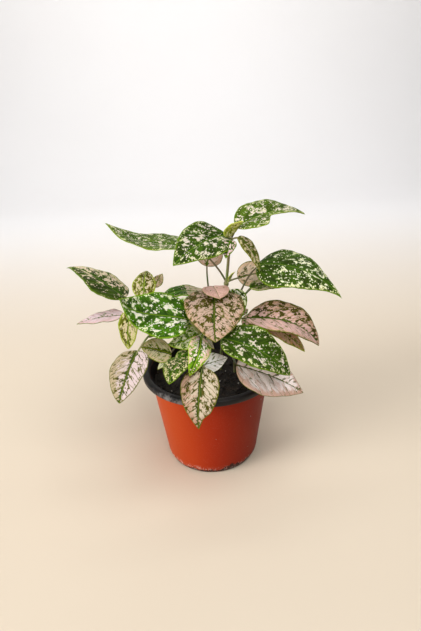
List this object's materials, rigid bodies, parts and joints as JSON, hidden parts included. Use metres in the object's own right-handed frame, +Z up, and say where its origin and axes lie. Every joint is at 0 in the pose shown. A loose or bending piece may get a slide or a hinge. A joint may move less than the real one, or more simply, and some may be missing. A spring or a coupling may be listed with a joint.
{
  "type": "potted polka dot plant",
  "caption": "Small bushy house plant with spotted pink and green leaves on thin leafy stems, growing in soil in a tapered round pot with a turned-down rim.",
  "frame": {"origin": "middle of the pot's base, on the surface that it stands on", "axes": "+Z up; -Y towards the viewer of the picture; +X to the viewer's right"},
  "size_m": [0.2019, 0.162, 0.2009],
  "materials": {
    "pot_plastic": "satin",
    "soil": "matte",
    "foliage": "satin"
  },
  "bodies": {
    "root": {"pot": "pot_plastic", "soil": "soil", "stem_tall": "foliage", "stem_left": "foliage", "stem_front": "foliage", "stem_right": "foliage", "stem_back": "foliage"}
  },
  "joints": []
}
